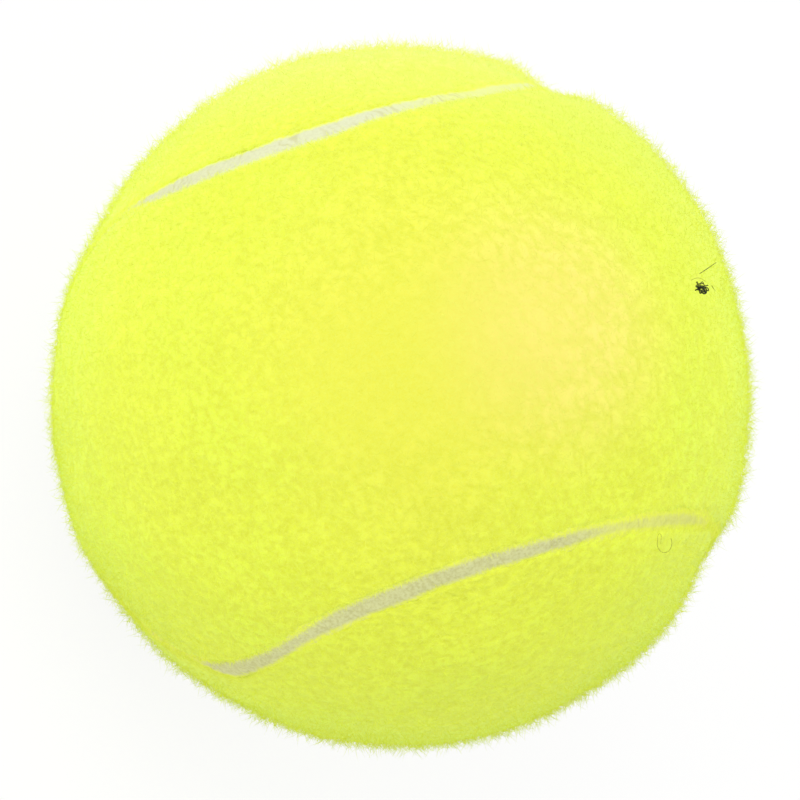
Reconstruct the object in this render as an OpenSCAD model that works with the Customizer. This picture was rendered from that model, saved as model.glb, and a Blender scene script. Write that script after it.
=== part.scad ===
// Pressurised tennis ball: a hollow rubber core joined from two halves, covered by two
// identical panels of felt that are laid crosswise over each other, with a recessed
// rubber seam between their edges. Lengths are in millimetres, and the origin is the
// centre of the ball. Panel A has its waist over the top (+Z) and folds its two lobes
// down over -X and +X. Panel B is the same piece turned over and given a quarter turn,
// so its waist lies under the bottom and its lobes come up over -Y and +Y.

/* [Ball] */
// Diameter over the felt
ball_d = 66; // [64:0.1:72]

/* [Rubber core] */
// Wall of the core
core_wall = 3.4; // [2.4:0.1:5]
// Bevel on the inner edge of each half's rim
rim_bevel = 0.5; // [0.2:0.05:1]
// Cement film between the two rims
joint_t = 0.3; // [0.1:0.05:0.6]
// Spread of the squeezed-out bead past the bevels, on the cavity's wall
bead_lip = 0.3; // [0.1:0.05:0.8]

/* [Felt panels] */
// Thickness of the felt with its nap
felt_t = 3.1; // [2.4:0.1:4.6]
// Rubber cement film under each panel
backing_t = 0.2; // [0.1:0.05:0.5]
// Rounding of the felt's upper edge along the seam
shoulder_r = 0.6; // [0.2:0.05:1]
// Tilt of a panel's lobe axes past the equator, in degrees: more of it narrows the waist
lobe_tilt = 3; // [0:0.5:18]

/* [Seam] */
// Clear width between the two felt edges, at the outer surface
seam_w = 2.2; // [1.6:0.1:3.6]
// Depth of the seam's crown under the felt's surface
seam_recess = 0.5; // [0.2:0.05:1.4]
// Rise of the crown over the seam's own edges
seam_crown = 0.12; // [0.05:0.01:0.2]

/* [Hidden] */
$fn = 96;

// How far a cutting shape runs past the surface that it cuts
overrun = 1;

// Radii of the layers, from the outside in
ball_r = ball_d / 2;
felt_r = ball_r - felt_t;
core_r = felt_r - backing_t;
cavity_r = core_r - core_wall;
reach = ball_r + overrun;

// How far neighbouring arcs of the seam run into each other, so that the two roundings of
// a felt edge cross cleanly where they meet
arc_lap = 0.01;

// The seam's centre line is four equal arcs on the sphere, one round each lobe, that touch
// end to end on the equator. Seen from the ball's centre, an arc's radius is half the angle
// between the axes of two neighbouring lobes, and half the seam's width is edge_angle.
arc_angle = acos(cos(lobe_tilt) / sqrt(2)) + asin(arc_lap / 2 / ball_r);
edge_angle = asin(seam_w / 2 / ball_r);

// Half of the cement film, and the half width of the groove that the two bevels make
rim_z = joint_t / 2;
groove_z = rim_z + rim_bevel;

// Point at the distance r from the ball's centre and at an angle from a lobe's axis
function polar(r, angle) = r * [sin(angle), cos(angle)];

// Circle over the top of the seam, through its crown and both of its edges
crown_r = ball_r - seam_recess;
crown_edge = polar(crown_r - seam_crown, edge_angle);
crown_rise = crown_r - crown_edge[1];
crown_arc_r = (crown_edge[0] ^ 2 + crown_rise ^ 2) / (2 * crown_rise);

// Turns panel A over and a quarter round, which lays it where panel B is
module as_panel_b() {
    rotate([180, 0, 90]) children();
}

// Puts children, drawn round the Z axis, on panel A's lobe at +X (0) or at -X (1)
module on_lobe_a(i) {
    rotate([0, 0, 180 * i]) rotate([0, 90 + lobe_tilt, 180]) children();
}

module on_lobe_b(i) {
    as_panel_b() on_lobe_a(i) children();
}

// Hollow ball with its poles at -Y and +Y, where panel A leaves it bare
module shell(inner_r, outer_r) {
    rotate([-90, 90, 0])
        difference() {
            sphere(r = outer_r);
            sphere(r = inner_r);
        }
}

// Solid cone from the ball's centre out through its surface
module sector(angle) {
    cylinder(h = reach, r1 = 0, r2 = reach * tan(angle));
}

module upper_side() {
    translate([-reach, -reach, 0]) cube(2 * reach);
}

// Corner that the rounding takes off the felt, drawn in the plane of a lobe's axis. The
// felt lies inside its edge (side 1) or outside of it (side -1), seen from that axis.
module shoulder_section(side) {
    edge = arc_angle - side * edge_angle;
    centre_r = ball_r - shoulder_r;
    centre = polar(centre_r, edge - side * asin(shoulder_r / centre_r));
    out = centre * (reach / centre_r) - centre;
    across = side * (shoulder_r + overrun) * [cos(edge), -sin(edge)];
    difference() {
        polygon([centre, centre + out, centre + out + across, centre + across]);
        translate(centre) circle(r = shoulder_r);
    }
}

// Upper part of a layer: the waist, from lobe to lobe over the top of the ball. Each lobe
// of the other panel bites a round notch out of its side.
module waist_layer(inner_r, outer_r) {
    difference() {
        intersection() {
            shell(inner_r, outer_r);
            upper_side();
        }
        for (i = [0, 1]) on_lobe_b(i) sector(arc_angle + edge_angle);
    }
}

// Lower part of a layer: one lobe, which closes round its own arc under the equator
module lobe_layer(i, inner_r, outer_r) {
    difference() {
        intersection() {
            shell(inner_r, outer_r);
            on_lobe_a(i) sector(arc_angle - edge_angle);
        }
        upper_side();
    }
}

module backing() {
    waist_layer(core_r, felt_r);
    for (i = [0, 1]) lobe_layer(i, core_r, felt_r);
}

// Felt of one panel: the layer with its upper edge rounded all the way along the seam
module felt() {
    difference() {
        waist_layer(felt_r, ball_r);
        for (i = [0, 1]) on_lobe_b(i) rotate_extrude() shoulder_section(-1);
    }
    for (i = [0, 1])
        difference() {
            lobe_layer(i, felt_r, ball_r);
            on_lobe_a(i) rotate_extrude() shoulder_section(1);
        }
}

// Section through the seam, from the core's surface up to the crown between the felt edges
module seam_section() {
    difference() {
        intersection() {
            polygon([
                [0, 0],
                polar(2 * reach, arc_angle - edge_angle),
                polar(2 * reach, arc_angle + edge_angle)
            ]);
            translate(polar(crown_r - crown_arc_r, arc_angle)) circle(r = crown_arc_r);
        }
        circle(r = core_r);
    }
}

// One quarter of the seam: the arc round a lobe of panel A, under the equator
module seam_arc(i) {
    difference() {
        on_lobe_a(i) rotate_extrude() seam_section();
        upper_side();
    }
}

// Section of the upper half of the core, with a flat rim that is bevelled on the inside
module core_half_section() {
    difference() {
        intersection() {
            circle(r = core_r);
            translate([0, rim_z]) square(reach);
        }
        circle(r = cavity_r);
        polygon([
            [0, 0],
            [cavity_r + rim_bevel, 0],
            [cavity_r + rim_bevel, rim_z],
            [cavity_r - overrun, groove_z + overrun],
            [0, groove_z + overrun]
        ]);
    }
}

// Section of the cement between the rims, which widens to fill the groove of the bevels
module core_joint_section() {
    intersection() {
        circle(r = core_r);
        polygon([
            [cavity_r - bead_lip, -groove_z],
            [cavity_r, -groove_z],
            [cavity_r + rim_bevel, -rim_z],
            [reach, -rim_z],
            [reach, rim_z],
            [cavity_r + rim_bevel, rim_z],
            [cavity_r, groove_z],
            [cavity_r - bead_lip, groove_z]
        ]);
    }
}

module core_half_upper() {
    color([0.17, 0.17, 0.18]) rotate_extrude() core_half_section();
}

module core_half_lower() {
    color([0.2, 0.2, 0.21]) mirror([0, 0, 1]) rotate_extrude() core_half_section();
}

module core_joint_cement() {
    color([0.72, 0.66, 0.5]) {
        rotate_extrude() core_joint_section();
        rotate_extrude()
            intersection() {
                circle(r = cavity_r);
                translate([cavity_r, 0]) circle(r = groove_z + bead_lip);
            }
    }
}

module panel_a_backing_cement() {
    color([0.8, 0.76, 0.62]) backing();
}

module panel_b_backing_cement() {
    color([0.8, 0.76, 0.62]) as_panel_b() backing();
}

module felt_panel_a() {
    color([0.9, 0.98, 0.32]) felt();
}

module felt_panel_b() {
    color([0.85, 0.94, 0.3]) as_panel_b() felt();
}

module seam_cement() {
    color([0.86, 0.84, 0.72])
        for (i = [0, 1]) {
            seam_arc(i);
            as_panel_b() seam_arc(i);
        }
}

core_half_upper();
core_half_lower();
core_joint_cement();
panel_a_backing_cement();
panel_b_backing_cement();
felt_panel_a();
felt_panel_b();
seam_cement();
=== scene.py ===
"""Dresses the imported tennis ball: two felt panels with a fluffed nap, the rubber seam between
them, the finishes of the hollow core inside, and a plain studio round it. Everything is in
metres, with the origin at the ball's centre and +Z through the middle of panel A's waist."""

import math

import bpy
import numpy as np
from bpy.props import FloatProperty, FloatVectorProperty, IntProperty, PointerProperty
from mathutils import Matrix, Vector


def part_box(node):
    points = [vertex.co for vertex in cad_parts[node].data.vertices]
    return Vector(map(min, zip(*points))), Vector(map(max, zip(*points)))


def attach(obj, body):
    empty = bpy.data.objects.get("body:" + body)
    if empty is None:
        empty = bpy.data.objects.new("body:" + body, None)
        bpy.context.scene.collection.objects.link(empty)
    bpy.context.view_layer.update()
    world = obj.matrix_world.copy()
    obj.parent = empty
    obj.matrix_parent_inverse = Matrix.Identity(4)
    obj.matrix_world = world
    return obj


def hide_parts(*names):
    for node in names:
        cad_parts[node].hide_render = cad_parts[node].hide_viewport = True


bl_info = {
    "name": "Tennis Ball Builder",
    "version": (1, 0, 0),
    "blender": (4, 5, 0),
    "location": "3D View > Sidebar > Tennis Ball",
    "description": "Felt panels, nap, seam and finishes round the solids of a tennis ball",
    "category": "Object",
}

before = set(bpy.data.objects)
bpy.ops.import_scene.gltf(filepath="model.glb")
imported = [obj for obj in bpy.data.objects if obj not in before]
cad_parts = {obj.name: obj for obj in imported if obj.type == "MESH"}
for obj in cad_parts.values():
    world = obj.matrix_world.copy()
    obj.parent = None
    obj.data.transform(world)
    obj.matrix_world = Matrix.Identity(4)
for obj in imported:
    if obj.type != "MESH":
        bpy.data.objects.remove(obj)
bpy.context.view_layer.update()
MM = 0.001

# The photo's view: the directions from the ball to the camera, to the picture's top and right
CAMERA_BACK = np.array([0.6997, 0.187, 0.6895])
CAMERA_UP = np.array([-0.0913, -0.9338, 0.3459])
CAMERA_RIGHT = np.cross(CAMERA_UP, CAMERA_BACK)
# Pixels in the photo: the outline's radius, and the ball's centre right of the middle and above it
OUTLINE_PX, RIGHT_PX, ABOVE_PX = 353, 0.7, 3.2


def solid_radius(node):
    """Outer radius of a round CAD node, from its box and rounded to a tenth of a millimetre."""
    return round(max(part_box(node)[1]), 4)


def linear_rgb(hex_colour):
    """The linear colour of an sRGB hex value."""
    channels = [int(hex_colour[i:i + 2], 16) / 255 for i in (1, 3, 5)]
    return tuple(c / 12.92 if c <= 0.04045 else ((c + 0.055) / 1.055) ** 2.4 for c in channels)


BALL_R = solid_radius("felt_panel_a")


def length(name, description, default, low=0.0, high=1.0):
    return FloatProperty(name=name, description=description, default=default, min=low,
                         max=high, unit="LENGTH", precision=5)


def angle(name, description, degrees, low=0.0, high=180.0):
    return FloatProperty(name=name, description=description, default=math.radians(degrees),
                         min=math.radians(low), max=math.radians(high), unit="ROTATION")


def share(name, description, default, high=1.0):
    return FloatProperty(name=name, description=description, default=default, min=0.0, max=high)


def number(name, description, default, high):
    return IntProperty(name=name, description=description, default=default, min=10, max=high)


def colour(name, description, hex_colour):
    return FloatVectorProperty(name=name, description=description, subtype="COLOR", size=3,
                               default=linear_rgb(hex_colour), min=0.0, max=1.0)


class BallShape(bpy.types.PropertyGroup):
    """Sizes that the felt, the nap and the seam share with the CAD solids."""

    ball_r: length("Ball radius", "Radius over the felt", BALL_R)
    felt_r: length("Felt base radius", "Radius under the felt, on top of its cement",
                   solid_radius("panel_a_backing_cement"))
    core_r: length("Core radius", "Outer radius of the rubber core",
                   solid_radius("core_half_upper"))
    lobe_tilt: angle("Lobe tilt", "How far a panel's lobe axes lie past the equator", 3, 0, 18)
    seam_w: length("Seam width", "Clear width between the two felt edges", 2.2 * MM)
    seam_crown: length("Seam crown", "Rise of the crown over the seam's own edges", 0.12 * MM)
    shoulder_r: length("Shoulder", "Rounding of the felt's edge, filled out by fluff", 0.4 * MM)
    nap_depth: length("Nap depth", "From the nap's ends down to the felt's closed body",
                      0.27 * MM)


class FeltLook(bpy.types.PropertyGroup):
    """Relief and colours of the two felt panels."""

    mesh_step: length("Mesh step", "Distance between two mesh lines of a panel", 0.33 * MM)
    swell: length("Swell", "Height of the broad waves of the felt", 0.12 * MM)
    tuft: length("Tufts", "Height of the matted tufts", 0.055 * MM)
    tuft_w: length("Tuft width", "Width of a matted tuft", 1.05 * MM)
    wander: length("Edge wander", "How far a cut edge strays from its line", 0.11 * MM)
    overhang: length("Overhang", "How far the fluffed felt hangs over the seam", 0.12 * MM)
    waist_overhang: length("Waist overhang", "More of it where a waist is narrowest", 0.17 * MM)
    body: colour("Felt", "Dyed wool and nylon, in full light", "#EAF34A")
    # Painted shade: the colour of the low pile between tufts; in the dye's matted clumps a darker
    # tone at random
    deep: colour("Felt between tufts", "The same fibres deep in the pile", "#DADF38")
    green: colour("Greener felt", "Broad patches where the dye took greener", "#E2F74A")
    painted_front_light: colour("Yellowed felt", "Round the pressed place, where the dye bleached", "#EEEB5C")
    # Painted light: a yellower cast on the lit front round the pressed place
    painted_top_light: colour("Bleached felt", "The side where the dye bleached most", "#F1F488")
    # Painted light: the felt is made paler on the side towards the top, where the light falls most
    painted_warm_highlight: colour("Flattened felt", "Warm cast of the place where the nap was pressed", "#F9E888")
    # Painted highlight: a warmer, paler cast on the pressed place, on the lit front
    tip: colour("Fibre tips", "Thin fibres with the light through them", "#EAF276")
    # Painted shade: darker than the tip colour, so fibres lit from all round look no brighter than
    # the felt
    fuzz: colour("Raised fibres", "Single fibres against the light", "#C4DA4C")
    rim: colour("Felt edge on", "Fluorescent cast of fibres seen edge on", "#DAFF90")


class NapLook(bpy.types.PropertyGroup):
    """Number and size of the loose fibres that stand on the felt."""

    count: number("Nap fibres", "Short matted fibres on the whole ball", 95000, 160000)
    fuzz_count: number("Raised fibres", "Fibres that stand up as a fuzz", 88000, 100000)
    stray_count: number("Stray fibres", "Long curled fibres", 900, 2000)
    fringe_count: number("Fringe fibres", "Fibres over the seam's edges", 44000, 64000)
    nap_l: length("Nap length", "Length of a matted fibre", 1.5 * MM)
    fuzz_l: length("Raised length", "Length of a raised fibre", 1.1 * MM)
    stray_l: length("Stray length", "Length of a long curled fibre", 2.8 * MM)
    thick: length("Fibre thickness", "Diameter of a fibre with the few that cling to it",
                  0.037 * MM)


class RubberLook(bpy.types.PropertyGroup):
    """Colours of the rubber, the cements and the picked-up fibres, and how deep the seam lies."""

    seam: colour("Seam", "Vulcanised seam rubber, dusty with felt", "#D4D69B")
    # Painted shade in the creases; in the pits a darker speckle at random
    seam_dark: colour("Seam pits", "Pits and creases of the seam", "#BEBB7C")
    seam_sink: length("Seam sink", "Depth of the seam's crown under the felt's body", 0.1 * MM)
    # Painted light: the seam is paler on the side towards the top
    seam_top_light: colour("Bleached seam", "The side where the sun bleached it", "#DAE0C8")
    core: colour("Core", "Filled rubber of the core", "#39393C")
    joint: colour("Joint cement", "Cement between the core's halves", "#B9A982")
    backing: colour("Backing cement", "Cement under the felt", "#CFC5A2")
    speck: colour("Dark fibre", "Dark fibres that the felt picked up", "#23290F")
    coarse: colour("Coarse fibre", "Thick dyed hairs among the wool", "#8E8C2A")


class StageLook(bpy.types.PropertyGroup):
    """Camera, floor and lights."""

    camera_far: length("Camera distance", "From the ball's centre", 1.5, high=10.0)
    outline_share: share("Outline share", "Radius of the ball's outline in half frames",
                         350.5 / 400)
    ambient: share("Studio level", "Strength of the even light from all round", 1.07, 4.0)
    key: FloatProperty(name="Key light", description="Power of the soft box overhead",
                       default=6.0, min=0.0, max=200.0, subtype="POWER")
    key_w: length("Key width", "Diameter of the soft box", 0.9)
    key_far: length("Key distance", "From the ball's centre to the soft box", 1.2, high=10.0)
    floor: colour("Floor", "Pale plain floor", "#FAFAFA")
    floor_half: length("Floor reach", "Half of the floor's side", 4.0, high=20.0)
    floor_white: share("Floor white", "How far the floor is shown as plain white", 0.9)


SHAPES = {"ball_shape": BallShape, "ball_felt": FeltLook, "ball_nap": NapLook,
          "ball_rubber": RubberLook, "ball_stage": StageLook}


# Shapes: directions on a unit sphere and fields on it, as whole arrays

def unit(vectors):
    return vectors / np.linalg.norm(vectors, axis=-1, keepdims=True)


def dot(a, b):
    return (a * b).sum(-1, keepdims=True)


def square_to(axis, vectors):
    """The part of the vectors that is square to the axis, with length 1."""
    return unit(vectors - axis * dot(vectors, axis))


def smooth_step(low, high, x):
    """0 below low and 1 above high, with the cubic 3t^2 - 2t^3 between."""
    t = np.clip((x - low) / (high - low), 0, 1)
    return t * t * (3 - 2 * t)


def body_radius(shape):
    """Radius of the felt's closed body, over which the ends of the nap stand up."""
    return shape.ball_r - shape.nap_depth


# Places where the hand-laid panels drifted: the direction, how wide, and how far into panel A
DRIFTS = (((0.72, -0.68, 0.05), 0.35, 1.35 * MM), ((0.50, -0.65, 0.57), 0.30, 0.30 * MM),
          ((0.51, -0.65, 0.57), 0.09, 0.65 * MM), ((-0.10, -0.65, 0.75), 0.25, -0.3 * MM),
          ((0.72, 0.68, 0.02), 0.28, 1.1 * MM), ((-0.30, 0.66, 0.69), 0.30, 0.4 * MM),
          ((0.70, 0.65, -0.30), 0.07, -0.45 * MM))


class SeamLine:
    """The closed seam: four equal arcs on the unit sphere, one round each lobe's axis, that
    touch end to end. Arc k turns from -half to +half about axes[k], and a turn of zero lies
    towards first[k]. The arcs come in the order in which panel A's outline meets them: its
    lobe at +X, panel B's at +Y, its own at -X, and panel B's at -Y."""

    def __init__(self, shape, turned=False):
        self.turned = turned
        self.ball_r = shape.ball_r
        self.tilt = shape.lobe_tilt
        c, s = math.cos(self.tilt), math.sin(self.tilt)
        self.axes = np.array([[c, 0, -s], [0, c, s], [-c, 0, -s], [0, -c, s]])
        self.first = np.array([[-s, 0, -c], [0, -s, c], [s, 0, -c], [0, s, c]])
        self.second = np.array([[0, 1, 0], [-1, 0, 0], [0, -1, 0], [1, 0, 0]])
        self.side = np.array([1, -1, 1, -1])
        self.radius = math.acos(c / math.sqrt(2))
        self.half = math.pi / 2 + math.atan(s)
        self.edge = math.asin(shape.seam_w / 2 / shape.ball_r)

    def outline(self, turn, off):
        """Directions on the line that lies the angle off inside panel A, where off is counted
        from the seam's middle. turn grows by 2 half with each arc. On an arc of angular
        radius r about axis a the direction is a cos r + (e cos t + f sin t) sin r, where e
        and f are that arc's first and second directions and t its turn. r is less by off on
        panel A's own lobes, and more by it round those of panel B."""
        arc = np.floor(turn / (2 * self.half)).astype(int) % 4
        t = (turn % (2 * self.half) - self.half)[..., None]
        across = self.first[arc] * np.cos(t) + self.second[arc] * np.sin(t)
        plan = self.axes[arc] * math.cos(self.radius) + across * math.sin(self.radius)
        moved = -bells(as_panel_b(plan), DRIFTS) if self.turned else bells(plan, DRIFTS)
        r = (self.radius - self.side[arc] * (off + moved / self.ball_r))[..., None]
        return self.axes[arc] * np.cos(r) + across * np.sin(r)

    def nearest(self, p):
        """For directions p: the angle off inside panel A, negative in panel B, and the unit
        tangent that points from p to panel B's side. Over the equator the line goes round the
        nearer lobe of panel B, and under it round the nearer lobe of panel A."""
        upper = p[:, 2] >= 0
        b, a = self.axes[[1, 3]], self.axes[[0, 2]]
        axis = np.where(upper[:, None], b[(p @ b.T).argmax(1)], a[(p @ a.T).argmax(1)])
        apart = np.arccos(np.clip(dot(p, axis), -1, 1))[:, 0]
        sign = np.where(upper, 1.0, -1.0)
        off = (apart - self.radius) * sign - bells(p, DRIFTS) / self.ball_r
        return off, square_to(p, axis) * sign[:, None]

    def inside(self, off):
        """How far into its own panel a place at the angle off lies, in metres."""
        return (np.abs(off) - self.edge) * self.ball_r


def as_panel_b(points):
    """Turns points of panel A over and a quarter round, so that x, y, z become y, x, -z."""
    return np.stack([points[..., 1], points[..., 0], -points[..., 2]], -1)


def turned_if(turned, points):
    return as_panel_b(points) if turned else points


def waves(places, wavelength, seed, count=44):
    """Smooth random field with mean 0 and variance 1: the scaled sum of cosines whose wave
    vectors have random directions and lengths near 2 pi / wavelength."""
    rng = np.random.default_rng(seed)
    vectors = unit(rng.normal(size=(count, 3))) * rng.uniform(0.6, 1.4, (count, 1))
    phases = rng.uniform(0, 2 * math.pi, count)
    return math.sqrt(2 / count) * np.cos(
        places @ (vectors * 2 * math.pi / wavelength).T + phases).sum(-1)


PRESSED_AT = (math.radians(37), math.radians(6))
PRESSED_SIZE = (math.radians(31), math.radians(17))
# Middles of the painted highlight on the pressed place and of the yellower lit front round it
WARM_HIGHLIGHT_AT = (0.266, 0.096, 0.959)
FRONT_LIGHT_AT = (0.614, 0.059, 0.786)
# Middle of the side made paler with painted light from above, 15 degrees behind the photo's top
TOP_LIGHT_AT = tuple(0.966 * CAMERA_UP - 0.259 * CAMERA_BACK)


def pressed(p):
    """1 in the middle of the place where panel A's nap lies flat, and 0 well outside: the
    fourth power fall-off of an ellipse in the angle along the panel's waist and across it."""
    along = (np.arctan2(p[..., 0], p[..., 2]) - PRESSED_AT[0]) / PRESSED_SIZE[0]
    across = (np.arcsin(np.clip(p[..., 1], -1, 1)) - PRESSED_AT[1]) / PRESSED_SIZE[1]
    return np.exp(-(along ** 2 + across ** 2) ** 2)


def outline_at(degrees, ahead):
    """Direction to the ball's outline in the photo, counted from its right towards its top,
    and moved ahead towards the camera."""
    turn = math.radians(degrees)
    return math.cos(turn) * CAMERA_RIGHT + math.sin(turn) * CAMERA_UP + ahead * CAMERA_BACK


# Where the outline isn't quite round: at how many degrees, how far ahead of the outline, how
# wide, and how far out
LUMPS = [(outline_at(degrees, ahead), width, out * MM) for degrees, ahead, width, out in (
    (64.6, 0.00, 0.045, -1.95), (64.8, 0.12, 0.055, -0.90), (64.8, -0.12, 0.055, -0.90),
    (330, 0.00, 0.070, -0.95), (333, 0.08, 0.050, -0.40), (154, 0.00, 0.120, -0.60),
    (334, 0.00, 0.028, -0.60),
    (238, 0.00, 0.180, -0.25), (10, 0.00, 0.180, -0.20), (42, 0.00, 0.160, 0.25),
    (201, 0.00, 0.090, 0.20), (30, 0.00, 0.060, 0.30), (257, 0.00, 0.090, 0.30),
    (347, 0.00, 0.090, 0.25))]
# Where the fluffed felt closes over the seam, or draws back from it where the last number is
# negative: the direction, how wide, and how far
CLOSED = (((-0.47, 0.670, 0.580), 0.12, 1.1 * MM), ((-0.30, -0.69, 0.66), 0.10, 0.7 * MM),
          ((0.63, 0.45, -0.64), 0.17, 2.2 * MM), ((0.72, -0.66, -0.21), 0.13, 1.1 * MM),
          ((0.15, 0.67, 0.73), 0.28, 0.06 * MM), ((0.55, -0.65, 0.50), 0.30, -0.12 * MM),
          ((0.69, 0.66, -0.30), 0.08, -0.40 * MM), ((0.60, 0.67, 0.42), 0.25, -0.18 * MM),
          ((0.10, -0.655, 0.75), 0.20, -0.12 * MM), ((0.71, -0.655, 0.24), 0.10, -0.20 * MM),
          ((0.734, 0.678, 0.047), 0.08, 0.25 * MM), ((0.08, 0.663, 0.74), 0.08, 0.15 * MM))
# The most that an edge closes, the half crack that always stays, and the most that it draws back
CLOSED_MOST, CRACK, DRAWN_BACK = 1.05 * MM, 0.03 * MM, 0.3 * MM
WAIST_REACH = math.radians(36)  # how far along the seam the waist's overhang is felt
# Where fluff lies all over the seam: the direction, and the distances in mm where it is at its
# densest and where it ends
DUSTED = (((-0.16, 0.66, 0.73), 4, 16), ((0.02, -0.65, 0.76), 3, 15))


def bells(p, places):
    """Sum of bell curves in the distance of the directions p from each listed place."""
    total = np.zeros(p.shape[:-1])
    for centre, width, height in places:
        apart = ((p - unit(np.asarray(centre))) ** 2).sum(-1)
        total += height * np.exp(-apart / (2 * width ** 2))
    return total


def broad_relief(p, shape, look):
    """Height of the ball's lumps and of its broad waves, which are lower where it is pressed."""
    swell = look.swell * (1 - 0.5 * pressed(p)) * waves(p * shape.ball_r, 14 * MM, 11)
    return swell + bells(p, LUMPS)


# The smallest tufts: how wide, and how high. The others' warp: how wide, and how far
FINE_W, FINE_H = 0.7 * MM, 0.018 * MM
WARP_W, WARP_BY = 2.5 * MM, 0.25 * MM


def pile_relief(p, shape, look):
    """Height of the felt over its even surface, and how far up a tuft each point is. Tufts
    are the absolute value of a smooth field, which has round tops and sharp creases; two
    sizes of them lie on broad waves, and all but the smallest vanish where it is pressed."""
    places = p * shape.ball_r
    flat = pressed(p)
    warp = np.stack([waves(places, WARP_W, 20 + i, 24) for i in range(3)], -1) * WARP_BY
    large = np.abs(waves(places + warp, 2 * look.tuft_w, 12, 64))
    small = np.abs(waves(places + warp, look.tuft_w, 13, 64))
    fine = waves(places + warp, FINE_W, 14, 64)
    tufts = np.clip(0.6 * large + 0.45 * small, 0, 1.7) - 0.8
    height = (broad_relief(p, shape, look) + look.tuft * (1 - 0.65 * flat) * tufts
              + FINE_H * (1 + 0.3 * flat) * fine)
    return height, np.clip(0.5 + 0.6 * (1 - 0.85 * flat) * tufts, 0, 1)


CORNER = math.radians(48)  # where a lobe's round end becomes a long edge, from its tip
END_ROWS = 60  # cross lines over which a panel's grid eases from its ends


def panel_directions(line, off, along, across):
    """Directions over panel A, as a grid of along + 1 cross lines of across + 1 points. Each
    cross line is an arc of the one circle through its three points: on the panel's two long
    edges and on the spine, the great circle through both lobes. The spine's points run evenly
    from tip to tip, and the edges' from corner to corner. The first and last cross lines are
    the outline itself, and the next ones ease from it to their arcs."""
    h, c = line.half, CORNER
    turns = np.linspace(h + c, 5 * h - c, along + 1)
    tip = math.pi / 2 + line.tilt + line.radius - off
    spine = np.linspace(tip, -tip, along + 1)
    middle = np.stack([np.sin(spine), 0 * spine, np.cos(spine)], -1)
    edges = [line.outline(10 * h - turns, off), line.outline(turns, off)]
    normal = unit(np.cross(middle - edges[0], edges[1] - middle))
    centre = normal * dot(middle, normal)
    up = middle - centre
    side = np.cross(normal, up)
    ends = [np.arctan2(dot(edge - centre, side), dot(edge - centre, up)) for edge in edges]
    aside = np.linspace(-1, 1, across + 1)
    swing = np.where(aside < 0, -ends[0], ends[1]) * aside
    grid = (centre[:, None] + up[:, None] * np.cos(swing)[..., None]
            + side[:, None] * np.sin(swing)[..., None])
    first = line.outline(np.linspace(9 * h - c, 9 * h + c, across + 1), off)
    last = line.outline(np.linspace(5 * h + c, 5 * h - c, across + 1), off)
    ease = np.clip(1 - np.arange(along + 1) / END_ROWS, 0, 1)[:, None, None] ** 2
    return unit(grid + ease * (first - grid[0]) + ease[::-1] * (last - grid[-1]))


def rim_turns(line, along, across):
    """Turns of the points round a panel's grid: a long edge, an end, and the same again."""
    h, c = line.half, CORNER
    parts = [(h + c, 5 * h - c, along), (5 * h - c, 5 * h + c, across),
             (5 * h + c, 9 * h - c, along), (9 * h - c, 9 * h + c, across)]
    return np.concatenate([np.linspace(a, b, n, endpoint=False) for a, b, n in parts])


def rim_indices(along, across):
    """Grid indices of the same points, as rows and columns."""
    i, j = np.arange(along), np.arange(across)
    rows = np.concatenate([i, 0 * j + along, along - i, 0 * j])
    columns = np.concatenate([0 * i + across, across - j, 0 * i, j])
    return rows, columns


def cell_corners(grid):
    """The values at the four corners of each cell of a grid, once round against the clock."""
    corners = np.stack([grid[:-1, :-1], grid[:-1, 1:], grid[1:, 1:], grid[1:, :-1]], 2)
    return corners.reshape(-1, 4, *grid.shape[2:])


def grid_uv(u, v):
    """Places on the bake's map for the cells of a grid."""
    return cell_corners(np.stack(np.meshgrid(u, v, indexing="ij"), -1))


def make_piece(name, points, faces, material, uv=None, attributes=None, smooth=True):
    """Makes a mesh object from whole arrays. faces is a list of arrays of vertex
    numbers, one row for each face, in which -1 stands for no corner. uv holds the corners'
    places on the bake's map in the same layout, and attributes one number for each vertex."""
    mesh = bpy.data.meshes.new(name)
    points = np.ascontiguousarray(points.reshape(-1, 3), np.float32)
    mesh.vertices.add(len(points))
    mesh.vertices.foreach_set("co", points.ravel())
    counts = np.concatenate([(f >= 0).sum(1) for f in faces])
    corners = np.concatenate([f[f >= 0] for f in faces]).astype(np.int32)
    mesh.loops.add(len(corners))
    mesh.loops.foreach_set("vertex_index", corners)
    mesh.polygons.add(len(counts))
    starts = np.concatenate([[0], np.cumsum(counts)[:-1]]).astype(np.int32)
    mesh.polygons.foreach_set("loop_start", starts)
    if uv is not None:
        # A map named OFBake, in which each patch below gets the room it needs
        layer = mesh.uv_layers.new(name="OFBake")
        places = np.concatenate([m[f >= 0] for m, f in zip(uv, faces)])
        layer.data.foreach_set("uv", places.astype(np.float32).ravel())
    for key, values in (attributes or {}).items():
        made = mesh.attributes.new(key, "FLOAT", "POINT")
        made.data.foreach_set("value", np.ascontiguousarray(values, np.float32).ravel())
    mesh.update(calc_edges=True)
    if smooth:
        mesh.shade_smooth()
    else:
        mesh.shade_flat()
    mesh.materials.append(material)
    piece = bpy.data.objects.new(name, mesh)
    bpy.context.scene.collection.objects.link(piece)
    return piece


# Materials

def add_node(tree, kind, inputs=None, **settings):
    """Adds a shader node with its settings. An input that is given a socket is linked to it,
    and any other value is set on the input itself."""
    made = tree.nodes.new("ShaderNode" + kind)
    for key, value in settings.items():
        setattr(made, key, value)
    for key, value in (inputs or {}).items():
        if isinstance(value, bpy.types.NodeSocket):
            tree.links.new(value, made.inputs[key])
        else:
            made.inputs[key].default_value = value
    return made


def rgba(rgb, lighter=1.0):
    return (*(min(1.0, c * lighter) for c in rgb), 1.0)


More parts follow.
